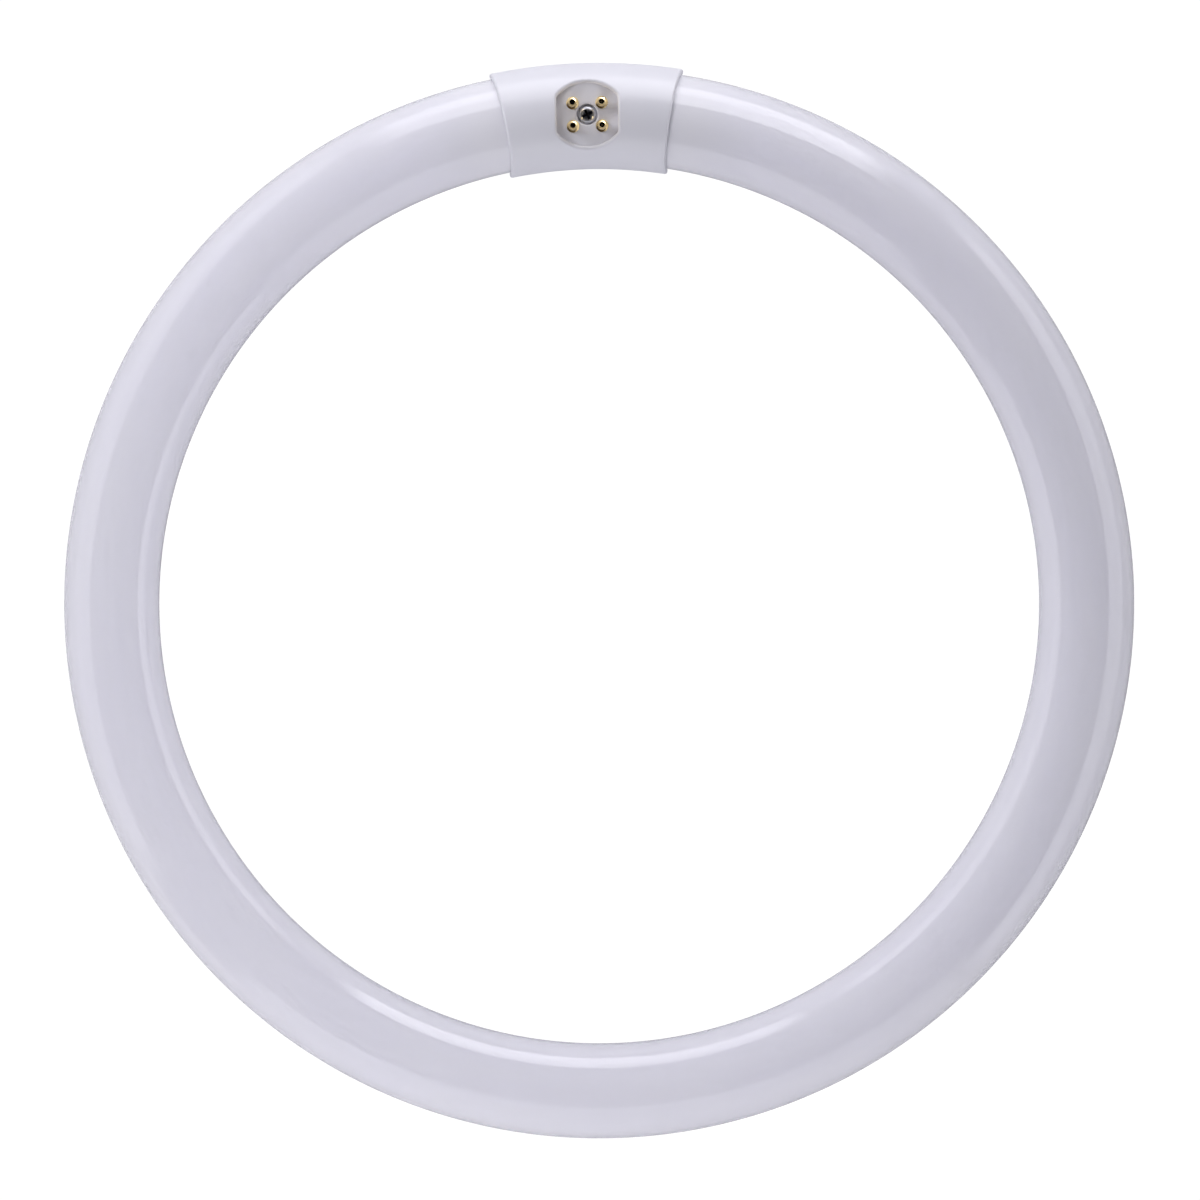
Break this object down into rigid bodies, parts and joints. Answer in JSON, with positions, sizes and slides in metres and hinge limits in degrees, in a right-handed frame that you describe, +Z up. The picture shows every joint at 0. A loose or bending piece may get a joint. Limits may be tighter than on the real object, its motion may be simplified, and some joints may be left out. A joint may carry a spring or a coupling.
{
  "type": "circular fluorescent tube",
  "caption": "Ring-shaped fluorescent tube of coated white glass, its ends held in a two-part white plastic cap with a sunk recess for brass contact pins and a screw.",
  "frame": {"origin": "on the ring's axis, level with the lowest point of the cap's rear", "axes": "+Z up along the ring's axis, the way the pins point; +Y from the ring's centre to the cap"},
  "size_m": [0.292, 0.2935, 0.0318],
  "materials": {
    "coated_glass": "clear gloss glass over a white phosphor layer, opaque",
    "cap_plastic": "satin white moulded plastic",
    "screw_steel": "zinc plated",
    "pin_brass": "bright turned brass",
    "wire_metal": "bare drawn wire"
  },
  "bodies": {
    "root": {"glass_tube": "coated_glass", "cap_front": "cap_plastic", "cap_rear": "cap_plastic", "cap_screw": "screw_steel", "contact_pin_1": "pin_brass", "contact_pin_2": "pin_brass", "contact_pin_3": "pin_brass", "contact_pin_4": "pin_brass", "lead_wire_1": "wire_metal", "lead_wire_2": "wire_metal", "lead_wire_3": "wire_metal", "lead_wire_4": "wire_metal"}
  },
  "joints": []
}
